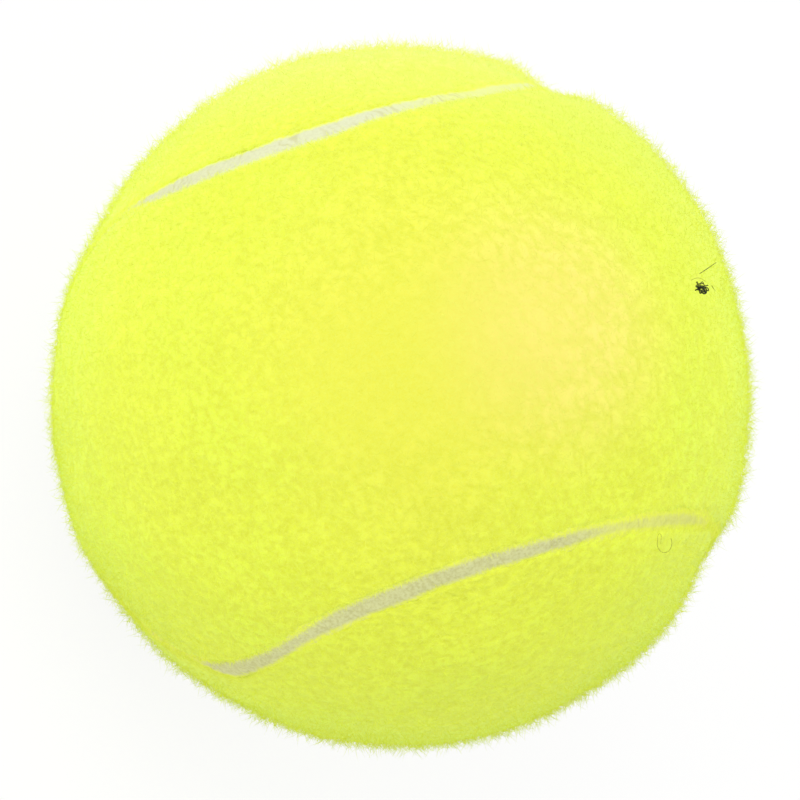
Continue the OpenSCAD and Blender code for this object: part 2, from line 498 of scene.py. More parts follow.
def empty_tree(owner):
    """The node tree of a material or world, without the nodes that it starts with."""
    owner.use_nodes = True
    owner.node_tree.nodes.clear()
    return owner.node_tree


def start_material(name):
    """An empty material, its node tree, and the place in the object's own coordinates."""
    material = bpy.data.materials.new(name)
    tree = empty_tree(material)
    return material, tree, add_node(tree, "TexCoord").outputs["Object"]


def finish_material(tree, base, relief=None, strength=0.0, depth=0.0, **values):
    """The surface: its colour, bumps that follow the relief, and its other inputs, with _ for
    each space in their names."""
    inputs = {key.replace("_", " "): value for key, value in values.items()}
    if relief is not None:
        bump = add_node(tree, "Bump", {"Height": relief, "Strength": strength,
                                       "Distance": depth})
        inputs["Normal"] = bump.outputs[0]
    shader = add_node(tree, "BsdfPrincipled", {"Base Color": base, **inputs})
    add_node(tree, "OutputMaterial", {"Surface": shader.outputs[0]})


def tinted(tree, before, value, bounds, shares, after, **settings):
    """Colour that turns from before to after with a value: the share of after goes from the
    first to the second of the shares while the value goes from one bound to the other."""
    fade = add_node(tree, "MapRange", {"Value": value, "From Min": bounds[0],
                                       "From Max": bounds[1], "To Min": shares[0],
                                       "To Max": shares[1]}, **settings)
    # The inputs and the output of the node's colour side go by their numbers
    mix = add_node(tree, "Mix", {0: fade.outputs[0], 6: before, 7: after}, data_type="RGBA")
    return mix.outputs[2]


def faded(tree, place, before, direction, near, far, most, after):
    """Colour that changes with the distance from a place on the felt: after up to near, by
    the share most, and before from far on. The distances are in millimetres."""
    centre = [c * BALL_R for c in direction]
    apart = add_node(tree, "VectorMath", {0: place, 1: centre}, operation="DISTANCE")
    return tinted(tree, before, apart.outputs["Value"], (near * MM, far * MM), (most, 0.0),
                  rgba(after), interpolation_type="SMOOTHSTEP")


def dye_and_painted_light(tree, place, look):
    """Fluorescent dye over the whole ball, in the object's own coordinates: broad patches
    14 mm wide that took it greener and matted clumps half a millimetre wide. Over it lies
    painted light: paler on the side towards the top, yellower on the lit front, and a warmer
    painted highlight on the pressed place."""
    broad = add_node(tree, "TexNoise", {"Vector": place, "Scale": 1 / (14 * MM), "Detail": 2.0})
    mat = add_node(tree, "TexNoise", {"Vector": place, "Scale": 1 / (0.6 * MM), "Detail": 2.0})
    dyed = tinted(tree, rgba(look.body), broad.outputs["Fac"], (0.4, 0.7), (0.0, 0.6),
                  rgba(look.green))
    dyed = tinted(tree, dyed, mat.outputs["Fac"], (0.45, 0.68), (0.0, 0.75), rgba(look.deep))
    # Painted light: paler on the side towards the top
    dyed = faded(tree, place, dyed, TOP_LIGHT_AT, 10, 30, 0.85, look.painted_top_light)
    # Painted light: yellower on the lit front, with a warmer painted highlight on the pressed
    # place
    dyed = faded(tree, place, dyed, FRONT_LIGHT_AT, 5, 27, 0.9, look.painted_front_light)
    return faded(tree, place, dyed, WARM_HIGHLIGHT_AT, 3, 17, 0.85, look.painted_warm_highlight)


def felt_material(look):
    """Wool and nylon felt, needled, dyed and fluffed: matt, with a soft pale sheen where it is
    seen edge on. The eye sees matted tufts about 1 mm wide, with painted shade of the deeper
    colour in the low pile between them, and in them the grain of single fibres."""
    material, tree, place = start_material("needled_wool_felt")
    tuft = add_node(tree, "Attribute", attribute_name="tuft_top")
    # Painted shade: the felt turns to the deeper colour where the pile is low between tufts
    body = tinted(tree, dye_and_painted_light(tree, place, look), tuft.outputs["Fac"], (0.05, 0.75),
                  (0.7, 0.0), rgba(look.deep))
    # Fibres are 0.02 mm thick. The grain is drawn at 0.25 mm, the finest that still shows
    curl = add_node(tree, "TexNoise", {"Vector": place, "Scale": 1 / (0.25 * MM), "Detail": 3.0,
                                       "Distortion": 1.2}).outputs["Fac"]
    lit = tinted(tree, body, curl, (0.35, 0.7), (0.0, 0.4), rgba(look.tip))
    finish_material(tree, lit, curl, 0.25, 0.06 * MM, Roughness=0.95, Diffuse_Roughness=1.0,
                    Specular_IOR_Level=0.15, Sheen_Weight=0.8, Sheen_Roughness=0.5,
                    Sheen_Tint=rgba(look.rim))
    return material


def nap_material(name, look, tip_colour, sheen):
    """The same dyed fibres standing loose on the felt: paler to their tips, where light comes
    through them, each a little lighter or darker than the next, with painted shade on those low
    between tufts, and paler on the side towards the top with painted light."""
    material, tree, place = start_material(name)
    tip = add_node(tree, "Attribute", attribute_name="tip")
    own = add_node(tree, "Attribute", attribute_name="own_shade")
    body = tinted(tree, dye_and_painted_light(tree, place, look), tip.outputs["Fac"], (0.0, 1.0),
                  (0.0, 0.65), rgba(tip_colour))
    # Painted shade: own_shade darkens each fibre by a random tone, and more where it stands low
    # between tufts
    lit = tinted(tree, body, own.outputs["Fac"], (0.0, 1.0), (0.0, 0.55), rgba(look.deep))
    # Painted light: the fibres too are paler on the side towards the top
    lit = faded(tree, place, lit, TOP_LIGHT_AT, 8, 42, 0.8, look.painted_top_light)
    finish_material(tree, lit, Roughness=0.8, Diffuse_Roughness=1.0, Specular_IOR_Level=0.1,
                    Sheen_Weight=sheen, Sheen_Roughness=0.5, Sheen_Tint=rgba(look.rim))
    return material


def seam_material(look, felt):
    """Seam rubber, spread wet and vulcanised in the mould: matt and chalky, with slanting
    creases about 0.8 mm apart that are darkened with painted shade, small pits, felt dust along
    both edges, and painted light that makes it paler on the side towards the top."""
    material, tree, place = start_material("vulcanised_seam_rubber")
    pits = add_node(tree, "TexNoise", {"Vector": place, "Scale": 1 / (0.28 * MM),
                                       "Detail": 3.0}).outputs["Fac"]
    body = tinted(tree, rgba(look.seam), pits, (0.42, 0.72), (0.0, 0.75), rgba(look.seam_dark))
    # Painted light: the seam is paler on the side towards the top
    body = faded(tree, place, body, TOP_LIGHT_AT, 15, 50, 1.0, look.seam_top_light)
    for direction, near, far in DUSTED:
        body = faded(tree, place, body, direction, near, far, 0.5, felt.body)
    # Painted shade: the seam is darker in its creases
    crease = add_node(tree, "Attribute", attribute_name="crease")
    body = tinted(tree, body, crease.outputs["Fac"], (0.3, 1.0), (0.0, 0.5),
                  rgba(look.seam_dark))
    dusty = add_node(tree, "Attribute", attribute_name="dust")
    fluff = add_node(tree, "MapRange", {"Value": pits, "From Min": 0.3, "From Max": 0.6,
                                        "To Min": 0.35, "To Max": 1.0})
    dust = add_node(tree, "Math", {0: dusty.outputs["Fac"], 1: fluff.outputs[0]},
                    operation="MULTIPLY")
    lit = tinted(tree, body, dust.outputs[0], (0.0, 1.0), (0.0, 1.0), rgba(felt.body))
    finish_material(tree, lit, pits, 0.5, 0.05 * MM, Roughness=0.85, Specular_IOR_Level=0.3)
    return material


def moulded_core_material(look):
    """Filled natural rubber, compression moulded: dark, matt, a little cloudy from the mould's
    release, with the fine pebble of the mould."""
    material, tree, place = start_material("moulded_core_rubber")
    cloud = add_node(tree, "TexNoise", {"Vector": place, "Scale": 1 / (9 * MM), "Detail": 4.0})
    pebble = add_node(tree, "TexNoise", {"Vector": place, "Scale": 1 / (0.5 * MM), "Detail": 2.0})
    lit = tinted(tree, rgba(look.core), cloud.outputs["Fac"], (0.4, 0.75), (0.0, 0.35),
                 rgba(look.core, 2.2))
    finish_material(tree, lit, pebble.outputs["Fac"], 0.3, 0.05 * MM, Roughness=0.7,
                    Specular_IOR_Level=0.35)
    return material


def cement_material(name, rgb, streak_w, gloss):
    """Rubber cement, brushed on and cured: paler where the film is thick, with brush streaks
    of the given width."""
    material, tree, place = start_material(name)
    drawn = add_node(tree, "Mapping", {"Vector": place, "Scale": (1.0, 0.18, 1.0)})
    streak = add_node(tree, "TexNoise", {"Vector": drawn.outputs[0], "Scale": 1 / streak_w,
                                         "Detail": 3.0}).outputs["Fac"]
    lit = tinted(tree, rgba(rgb), streak, (0.35, 0.7), (0.0, 1.0), rgba(rgb, 0.72))
    finish_material(tree, lit, streak, 0.4, 0.06 * MM, Roughness=gloss, Specular_IOR_Level=0.4)
    return material


def fibre_material(name, rgb):
    """One coarse fibre of another yarn: its colour comes and goes along its length."""
    material, tree, place = start_material(name)
    fleck = add_node(tree, "TexNoise", {"Vector": place, "Scale": 1 / (0.3 * MM), "Detail": 2.0})
    lit = tinted(tree, rgba(rgb, 0.6), fleck.outputs["Fac"], (0.0, 1.0), (0.0, 1.0),
                 rgba(rgb, 1.5))
    finish_material(tree, lit, Roughness=0.7, Specular_IOR_Level=0.3)
    return material


# Felt panels and seam

PANEL_L, PANEL_W = 4.75, 1.42  # a panel's length and width along its surface, in ball radii
SHOULDER_STEPS = 7
BASE_STEP = 4  # grid steps in one face of a panel's base
# Down the cut edge, the shares of the edge's stray and of the relief above that it keeps
WALL_STRAY, WALL_RELIEF = [0.9, 0.6, 0.3, 0.0], [0.75, 0.5, 0.25, 0.0]
BURIED_TUFT = 0.7  # the tuft height that is given to what lies under the felt
# The bands of the bake's map that the top, the rim and the base have
TOP_BAND, RIM_BAND, BASE_BAND = (0.4, 1.0), (0.38, 0.14), (0.076, 0.19)


def panel_mesh(line, shape, look, turned):
    """Points, faces, map and tuft heights of one felt panel, as one closed surface. The top
    is the grid of panel_directions at the radius of the felt's body. Rings round its rim
    follow the quarter circle of the shoulder and then the cut edge down to the base, and a
    coarser grid closes the base. turned lays the finished panel where panel B is."""
    along, across = (BASE_STEP * round(BALL_R * size / look.mesh_step / BASE_STEP)
                     for size in (PANEL_L, PANEL_W))
    centre_r = body_radius(shape) - shape.shoulder_r
    inset = math.asin(shape.shoulder_r / centre_r)
    top = turned_if(turned, panel_directions(line, line.edge + inset, along, across))
    rows, columns = rim_indices(along, across)
    turns = rim_turns(line, along, across)
    # The shoulder's quarter circle in polar form, and then the edge straight down
    swing = np.linspace(0, math.pi / 2, SHOULDER_STEPS + 1)[1:]
    out, up = shape.shoulder_r * np.sin(swing), centre_r + shape.shoulder_r * np.cos(swing)
    wall = np.linspace(centre_r, shape.felt_r, len(WALL_STRAY) + 1)[1:]
    radii = np.concatenate([np.hypot(out, up), wall])
    offs = np.concatenate([line.edge + inset - np.arctan2(out, up), wall * 0 + line.edge])
    loose = np.concatenate([np.sin(swing) ** 2, WALL_STRAY])[:, None]
    kept = np.concatenate([swing * 0 + 1, WALL_RELIEF])[:, None]
    plain = turned_if(turned, line.outline(turns[None], line.edge * np.ones((1, 1))))
    stray = np.clip(stray_of(plain, shape, look) - overhang(line, turns, plain, look),
                    CRACK - line.edge * shape.ball_r, DRAWN_BACK)
    rings = line.outline(turns[None], offs[:, None] + loose * stray / shape.ball_r)
    rings = turned_if(turned, rings)
    base = turned_if(turned, panel_directions(line, line.edge, along, across))
    height, top_tuft = pile_relief(top, shape, look)
    top_points = top * (body_radius(shape) + height)[..., None]
    height, ring_tuft = pile_relief(rings, shape, look)
    ring_points = rings * (radii[:, None] + height * kept)[..., None]
    coarse = np.zeros((along + 1, across + 1), bool)
    coarse[BASE_STEP:-BASE_STEP:BASE_STEP, BASE_STEP:-BASE_STEP:BASE_STEP] = True
    base_points = base[coarse] * shape.felt_r
    top_ids = np.arange(top[..., 0].size).reshape(along + 1, across + 1)
    ring_ids = top_ids.size + np.arange(rings[..., 0].size).reshape(rings.shape[:2])
    ring_ids = np.vstack([top_ids[rows, columns], ring_ids])
    base_ids = np.full(coarse.shape, -1)
    base_ids[rows, columns] = ring_ids[-1]
    base_ids[coarse] = ring_ids.max() + 1 + np.arange(coarse.sum())
    rim_ids = np.hstack([ring_ids, ring_ids[:, :1]])
    u = np.linspace(0, 1, along + 1)
    rim_uv = grid_uv(np.linspace(*RIM_BAND, len(rim_ids)), np.linspace(1, 0, rim_ids.shape[1]))
    base_faces, base_uv = coarse_faces(base_ids, u, np.linspace(*BASE_BAND, across + 1))
    faces = [cell_corners(top_ids), cell_corners(rim_ids[:, ::-1]), base_faces]
    uv = [grid_uv(u, np.linspace(*TOP_BAND, across + 1)), rim_uv[..., ::-1], base_uv]
    points = np.concatenate([top_points.reshape(-1, 3), ring_points.reshape(-1, 3), base_points])
    tuft = np.concatenate([top_tuft.ravel(), np.where(kept > 0, ring_tuft, BURIED_TUFT).ravel(),
                           np.full(len(base_points), BURIED_TUFT)])
    return points, faces, uv, tuft


def stray_of(directions, shape, look):
    """How far the cut edge strays at these directions, in metres: two sizes of waves."""
    places = directions * shape.ball_r
    return look.wander * (0.75 * waves(places, 6 * MM, 31) + 0.5 * waves(places, 1.6 * MM, 32))


def overhang(line, turns, directions, look):
    """How far the fluffed edge hangs over the seam: the same all along, more by a bell curve
    of the turn at the middle of each arc, where a waist is narrowest, and a lot in places."""
    t = turns % (2 * line.half) - line.half
    hang = look.overhang + look.waist_overhang * np.exp(-(t / WAIST_REACH) ** 2)
    return np.minimum(hang + bells(directions, CLOSED), CLOSED_MOST)


def coarse_faces(ids, u, v):
    """Faces some grid steps wide over a grid of vertex numbers in which only every so many
    points and the whole rim have one. A face on the rim takes in all the rim's points. They
    face inwards, against those of the top."""
    along, across = ids.shape[0] - 1, ids.shape[1] - 1
    i, j = np.meshgrid(np.arange(0, along, BASE_STEP), np.arange(0, across, BASE_STEP),
                       indexing="ij")
    i, j = i.reshape(-1, 1), j.reshape(-1, 1)
    step, none = np.arange(BASE_STEP), np.zeros(BASE_STEP, int)
    down = np.concatenate([step, none + BASE_STEP, BASE_STEP - step, none])
    over = np.concatenate([none, step, none + BASE_STEP, BASE_STEP - step])
    return ids[i + down, j + over], np.stack([u[i + down], v[j + over]], -1)


def build_panels(shape, look):
    material, made = felt_material(look), []
    for name, turned in (("felt_cover_a", False), ("felt_cover_b", True)):
        points, faces, uv, tuft = panel_mesh(SeamLine(shape, turned), shape, look, turned)
        # tuft_top also sets where the felt gets painted shade between tufts
        piece = make_piece(name, points, faces, material, uv, {"tuft_top": tuft})
        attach(piece, "root")
        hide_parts("felt_panel_b" if turned else "felt_panel_a")
        made.append(piece)
    return made


SEAM_AROUND, SEAM_OVER = 1560, 16  # mesh steps along the seam strip and across its top
# Creases: how far apart, the radius of the turns in ball radii, and how much they slant
CREASE_STEP, TURN_R, CREASE_SLANT = 0.8 * MM, 0.72, 2.6
# Heights of the seam's grain, of its creases and of its broad waves
GRAIN_H, CREASE_H, WAVE_H = 0.035 * MM, 0.06 * MM, 0.05 * MM
DUST_W, DUST_OVER = 0.45 * MM, 0.05 * MM  # how far dust lies from an edge, and on under it
DUST_CLOSED = (0.35 * MM, 0.85 * MM)  # overhangs where dust starts to spread, and covers all
# How far the strip runs on under the felt, where it begins to dip there, and how deep
MARGIN, DIP_FROM, DIP = 0.6 * MM, 0.25 * MM, 0.45 * MM
# The base's places across, in reaches, and its height over the core
SEAM_BASE, CORE_GAP = [[1.0, 0.33, -0.33, -1.0]], 0.02 * MM


def build_seam(shape, look, felt):
    """The seam strip, as a closed tube round the whole line. Across it, the top is the arc of
    the crown, and the sides and base follow the felt's edges and the core. Slanting creases
    cross it: their height is a wave in the turn plus a slope times the place across. Dust from
    the felt lies along its edges, and wherever they close."""
    line = SeamLine(shape)
    turns = np.linspace(0, 8 * line.half, SEAM_AROUND, endpoint=False)[:, None]
    reach = line.edge + MARGIN / shape.ball_r
    across = np.linspace(-1, 1, SEAM_OVER + 1)
    directions = line.outline(turns, reach * across[None])
    places = directions * shape.ball_r
    phase = 2 * math.pi * turns * shape.ball_r * TURN_R / CREASE_STEP + CREASE_SLANT * across
    crease = 0.5 + 0.5 * np.cos(phase + 2.2 * waves(places, 2.4 * MM, 41)
                                + 0.8 * waves(places, 9 * MM, 42))
    crease = crease ** 2 * smooth_step(-1.2, 0.8, waves(places, 5 * MM, 43))
    height = (GRAIN_H * waves(places, 1.1 * MM, 44) - CREASE_H * crease
              + WAVE_H * waves(places, 6 * MM, 45))
    hang = overhang(line, turns, directions, felt)
    gap = line.edge * shape.ball_r - hang
    aside = np.abs(across) * reach * shape.ball_r
    dust = np.maximum(smooth_step(gap - DUST_W, gap + DUST_OVER, aside),
                      smooth_step(*DUST_CLOSED, hang))
    dip = smooth_step(DIP_FROM, MARGIN, aside - line.edge * shape.ball_r)
    radii = (body_radius(shape) - look.seam_sink - shape.seam_crown * across ** 2
             - DIP * dip + height + broad_relief(directions, shape, felt))
    low = line.outline(turns, reach * np.array(SEAM_BASE))
    points = np.concatenate([directions * radii[..., None], low * (shape.core_r + CORE_GAP)], 1)
    ids = np.arange(points[..., 0].size).reshape(points.shape[:2])
    closed = np.vstack([ids, ids[:1]])
    closed = np.hstack([closed, closed[:, :1]])[::-1]
    uv = grid_uv(np.linspace(1, 0, len(closed)), np.linspace(0, 1, closed.shape[1]))
    # crease gives the relief and also the painted shade in the creases
    crease, dust = (np.hstack([field, np.zeros(low.shape[:2])]) for field in (crease, dust))
    piece = make_piece("seam_strip", points, [cell_corners(closed)], seam_material(look, felt),
                       [uv], {"crease": crease, "dust": dust})
    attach(piece, "root")
    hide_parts("seam_cement")


# Loose fibres

TAPER = 0.6  # thickness near a fibre's tip, as a share of that near its root
CELL_EDGE, CELL_USED = 0.15, 0.7  # a fibre's square of the bake's map: its margin, and the rest
EDGE_REACH = 1.6 * MM  # how far from a cut edge the nap is shorter and leans to the seam
LOBE_FROM = math.radians(47)  # where a waist's pieces of fibres end, along the panel
STRAY_STEPS = 10


def tubes(paths, radii):
    """Three-sided tubes along many paths of the same number of points: a triangle round each
    inner point, square to the path, and both ends drawn out to a point."""
    count, inner = paths.shape[0], paths.shape[1] - 2
    heading = unit(paths[:, 2:] - paths[:, :-2])
    aside = unit(np.cross(heading, paths[:, :1] + 1e-9))
    above = np.cross(heading, aside)
    turn = np.arange(3)[:, None] * 2 * math.pi / 3
    ring = aside[:, :, None] * np.cos(turn) + above[:, :, None] * np.sin(turn)
    thick = radii[:, None] * np.linspace(1, TAPER, inner)
    rings = paths[:, 1:-1, None] + ring * thick[..., None, None]
    vertices = np.concatenate([paths[:, :1], rings.reshape(count, -1, 3), paths[:, -1:]], 1)
    last, s = 3 * inner + 1, np.arange(3)
    k, t = np.meshgrid(np.arange(inner - 1), s, indexing="ij")
    low, over = 1 + 3 * k + t, 1 + 3 * k + (t + 1) % 3
    quads = np.stack([low, over, over + 3, low + 3], -1).reshape(-1, 4)
    ends = np.concatenate([np.stack([0 * s, 1 + (s + 1) % 3, 1 + s], -1),
                           np.stack([0 * s + last, last - 3 + s, last - 3 + (s + 1) % 3], -1)])
    start = (np.arange(count) * (last + 1))[:, None, None]
    faces = [(quads + start).reshape(-1, 4), (ends + start).reshape(-1, 3)]
    # Each fibre has a small square of the bake's map, and its three sides share it
    rise = np.concatenate([[0.0], np.repeat(np.arange(1, inner + 1), 3), [inner + 1.0]])
    rise = rise / (inner + 1)
    side = math.ceil(math.sqrt(count))
    cell = np.stack(np.divmod(np.arange(count), side), -1)[:, None, None] + CELL_EDGE
    quad_uv = np.stack([0 * quads + [0, 1, 1, 0], rise[quads]], -1) * CELL_USED
    end_uv = np.stack([0 * ends + [0.5, 0, 1], rise[ends]], -1) * CELL_USED
    uv = [((quad_uv + cell) / side).reshape(-1, 4, 2), ((end_uv + cell) / side).reshape(-1, 3, 2)]
    return vertices, faces, uv, np.broadcast_to(rise, (count, last + 1))


def even_directions(count, seed):
    """Directions spread evenly over the sphere on a spiral of the golden angle, each moved by
    a random step of about half their spacing."""
    i = np.arange(count) + 0.5
    z, turn = 1 - 2 * i / count, i * math.pi * (3 - math.sqrt(5))
    ring = np.sqrt(1 - z * z)
    p = np.stack([ring * np.cos(turn), ring * np.sin(turn), z], -1)
    step = np.random.default_rng(seed).normal(size=p.shape) * 1.4 / math.sqrt(count)
    return unit(p + step)


def shoulder_drop(inside, r):
    """How far a shoulder of the radius r has fallen at a place so far inside its edge."""
    return r - np.sqrt(np.clip(r ** 2 - (r - np.clip(inside, 0, r)) ** 2, 0, None))


def arched_paths(roots, normal, aside, lift, bend, lean, lengths):
    """Each fibre is an arc of a circle. It leaves its root at the angle lift over the surface
    and turns by the angle bend towards a direction that leans from straight down to one side.
    At the share f of its length L it is L (sin(bf) T + (1 - cos(bf)) B) / b from its root."""
    heading = aside * np.cos(lift)[:, None] + normal * np.sin(lift)[:, None]
    up = square_to(heading, normal)
    towards = np.cross(heading, up) * np.sin(lean)[:, None] - up * np.cos(lean)[:, None]
    b = bend[:, None, None]
    f = np.array([0.0, 0.5, 1.0])[None, :, None]
    way = (np.sin(b * f) * heading[:, None] + (1 - np.cos(b * f)) * towards[:, None]) / b
    return roots[:, None] + way * lengths[:, None, None]


def scattered(count, seed, shape, look, line, margin):
    """Roots for fibres all over the felt: directions, the angle inside panel A, the radius of
    the felt there, how far up a tuft they are, and an even tangent direction that near a seam
    points across it."""
    rng = np.random.default_rng(seed)
    p = even_directions(count, seed + 1)
    off, to_b = line.nearest(p)
    keep = line.inside(off) > margin
    p, off, to_b = p[keep], off[keep], to_b[keep]
    aside = unit(np.cross(p, rng.normal(size=p.shape)))
    near = smooth_step(EDGE_REACH, 0.2 * MM, line.inside(off))
    aside = square_to(p, unit(aside + to_b * (np.sign(off) * 0.9 * near)[:, None]))
    height, tuft = pile_relief(p, shape, look)
    surface = body_radius(shape) + height - shoulder_drop(line.inside(off), shape.shoulder_r)
    return rng, p, off, surface, tuft, aside


def add_fibres(name, paths, radii, material, shades=None):
    """One piece of fibres. Those that the felt picked up have no shades and are smooth."""
    vertices, faces, uv, tip = tubes(paths, radii)
    attributes = {}
    if shades is not None:
        attributes = {"tip": tip, "own_shade": np.repeat(shades, vertices.shape[1])}
    piece = make_piece(name, vertices, faces, material, uv, attributes, smooth=shades is None)
    # A fibre is thin enough for light to come through, so it throws no shadow of its own
    piece.visible_shadow = piece.visible_diffuse = False
    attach(piece, "root")
    return piece


def by_part(prefix, p, off, paths, radii, shades, material):
    """Makes six pieces of fibres: those on each panel's waist and on each of its two lobes."""
    q = np.where(off[:, None] > 0, p, as_panel_b(p))
    along = np.arctan2(q[:, 0], q[:, 2])
    waist = np.abs(along) < LOBE_FROM
    parts = (("_waist", waist), ("_lobe_1", ~waist & (along > 0)),
             ("_lobe_2", ~waist & (along < 0)))
    return by_panel(prefix, off, paths, radii, shades, material, parts)


def by_panel(prefix, off, paths, radii, shades, material, parts=(("", True),)):
    """Makes a piece of fibres for each part of panel A, where off is over 0, and of panel B."""
    return [add_fibres(f"{prefix}_{letter}{where}", paths[mine & part], radii[mine & part],
                       material, shades[mine & part])
            for letter, mine in (("a", off > 0), ("b", off <= 0)) for where, part in parts]


def shortened(off, line):
    """Share of their length that fibres keep near a cut edge, where the nap is lower."""
    return 0.45 + 0.55 * smooth_step(0.1 * MM, EDGE_REACH, line.inside(off))


def build_nap(shape, look, nap):
    """Short fibres matted on the felt: low arches that lie any way, flatter where the nap is
    pressed, and leaning out over the seam along the edges."""
    line = SeamLine(shape)
    material = nap_material("matted_wool_fibre", look, look.tip, 0.5)
    rng, p, off, surface, tuft, aside = scattered(nap.count, 101, shape, look, line, 0.02 * MM)
    count, flat = len(p), pressed(p)
    lift = np.radians(rng.uniform(4, 76, count)) * (1 - 0.6 * flat)
    bend = rng.uniform(0.5, 2.3, count)
    lean = rng.uniform(-1.4, 1.4, count)
    lengths = nap.nap_l * rng.uniform(0.6, 1.35, count) * (1 - 0.35 * flat)
    lengths = lengths * shortened(off, line)
    roots = p * (surface - rng.uniform(0.03, 0.12, count) * MM)[:, None]
    paths = arched_paths(roots, p, aside, lift, bend, lean, lengths)
    radii = nap.thick / 2 * rng.uniform(0.7, 1.3, count)
    # A random tone for each fibre, plus painted shade on those rooted low between tufts
    shades = np.clip(rng.normal(0.3, 0.25, count) + 0.3 * (0.5 - tuft), 0, 1)
    return by_part("nap", p, off, paths, radii, shades, material)


def build_fringe(shape, look, nap):
    """Fibres along the cut edges that hang out over the seam and soften its outline. They are
    spread evenly along the seam's turns and over the shoulder, on both of its sides."""
    line = SeamLine(shape)
    material = nap_material("edge_wool_fibre", look, look.tip, 0.65)
    rng = np.random.default_rng(401)
    count = nap.fringe_count
    turns = rng.uniform(0, 8 * line.half, count)
    side = np.where(rng.random(count) < 0.5, 1.0, -1.0)
    hang = overhang(line, turns, line.outline(turns, 0 * turns), look)
    inside = rng.uniform(-0.15, 0.7, count) * MM
    p = line.outline(turns, side * (line.edge + (inside - hang) / shape.ball_r))
    outwards = line.nearest(p)[1] * side[:, None]
    aside = square_to(p, unit(outwards * rng.uniform(0.2, 1.3, (count, 1))
                              + np.cross(p, rng.normal(size=p.shape))))
    surface = (body_radius(shape) + pile_relief(p, shape, look)[0]
               - shoulder_drop(inside, shape.shoulder_r))
    roots = p * (surface - rng.uniform(0, 0.15, count) * MM)[:, None]
    lift = np.radians(rng.uniform(-5, 50, count))
    lengths = nap.nap_l * rng.uniform(0.3, 0.75, count)
    paths = arched_paths(roots, p, aside, lift, rng.uniform(0.3, 2.0, count),
                         rng.uniform(-1.5, 1.5, count), lengths)
    radii = nap.thick / 2 * rng.uniform(0.6, 1.0, count)
    shades = rng.uniform(0, 0.6, count)
    return by_panel("fringe", side, paths, radii, shades, material)


def build_fuzz(shape, look, nap):
    """Fibres that stand up as a thin fuzz, and a few long curled ones that worked loose."""
    line = SeamLine(shape)
    # Painted shade: the raised fibres take a darker tip colour than the matted ones
    material = nap_material("raised_wool_fibre", look, look.fuzz, 0.0)
    rng, p, off, surface, _, aside = scattered(nap.fuzz_count, 201, shape, look, line, 0)
    count, flat = len(p), pressed(p)
    lift = np.radians(rng.uniform(40, 88, count)) * (1 - 0.55 * flat)
    # Few fibres are long: the lengths fall off as an exponential
    lengths = nap.fuzz_l * (0.3 + np.clip(rng.exponential(0.5, count), 0, 1.6))
    lengths = lengths * (1 - 0.45 * flat) * shortened(off, line)
    roots = p * (surface - 0.08 * MM)[:, None]
    paths = arched_paths(roots, p, aside, lift, rng.uniform(0.3, 1.2, count),
                         rng.uniform(-1.5, 1.5, count), lengths)
    radii = nap.thick / 2 * rng.uniform(0.7, 1.0, count)
    shades = rng.uniform(0, 0.5, count)
    return (by_part("fuzz", p, off, paths, radii, shades, material)
            + build_strays(shape, look, nap, line, material))


def build_strays(shape, look, nap, line, material):
    """Long curled fibres. The heading turns about the surface's normal by a smooth random
    angle and nods up and down, and its running sum is the path."""
    rng, p, off, surface, _, aside = scattered(nap.stray_count, 301, shape, look, line, 0.4 * MM)
    count = len(p)
    over = np.cross(p, aside)
    f = np.linspace(0, 1, STRAY_STEPS + 1)[None]
    turns = (rng.uniform(-3.2, 3.2, (count, 1)) * f
             + rng.uniform(0.3, 1.4, (count, 1)) * np.sin(2 * math.pi * f * rng.uniform(
                 0.5, 1.3, (count, 1)) + rng.uniform(0, 6, (count, 1))))
    rise = np.radians(rng.uniform(25, 75, (count, 1))) * np.cos(
        math.pi * f * rng.uniform(0.7, 1.2, (count, 1)))
    heading = ((aside[:, None] * np.cos(turns)[..., None]
                + over[:, None] * np.sin(turns)[..., None]) * np.cos(rise)[..., None]
               + p[:, None] * np.sin(rise)[..., None])
    lengths = nap.stray_l * rng.uniform(0.5, 1.2, count)
    way = np.cumsum(heading, 1) - heading[:, :1]
    roots = p * (surface - 0.05 * MM)[:, None]
    paths = roots[:, None] + way * (lengths / STRAY_STEPS)[:, None, None]
    radii = nap.thick / 2 * rng.uniform(0.6, 0.9, count)
    return [add_fibres(f"stray_fibres_{letter}", paths[mine], radii[mine], material,
                       rng.uniform(0, 0.6, mine.sum()))
            for letter, mine in (("a", off > 0), ("b", off <= 0))]


# Fibres that the felt picked up

# Where they lie, in ball radii to the photo's right and to its top. The hair stands up from the
# felt towards its second end, so it has its place towards the viewer as well
NEP_AT, NEP_SLANT = (0.8506, 0.3077), math.radians(-30)
LOOP_AT = (0.7438, -0.4128)
ARCH_ENDS, ARCH_RISE = ((0.8174, 0.3275), (0.8663, 0.3219)), 0.011
HAIR_ENDS = ((0.8430, 0.3465, 0.420), (0.8960, 0.3820, 0.36))
SLIVER_ENDS = ((0.8785, 0.316), (0.8905, 0.2970))


def proud(places, out):
    """Adds to places right and up in the photo the depth at which they lie on the ball, and
    the given share of its radius out of it."""
    places = np.asarray(places, float)
    return np.hstack([places, np.sqrt((1 + out) ** 2 - (places ** 2).sum(1, keepdims=True))])


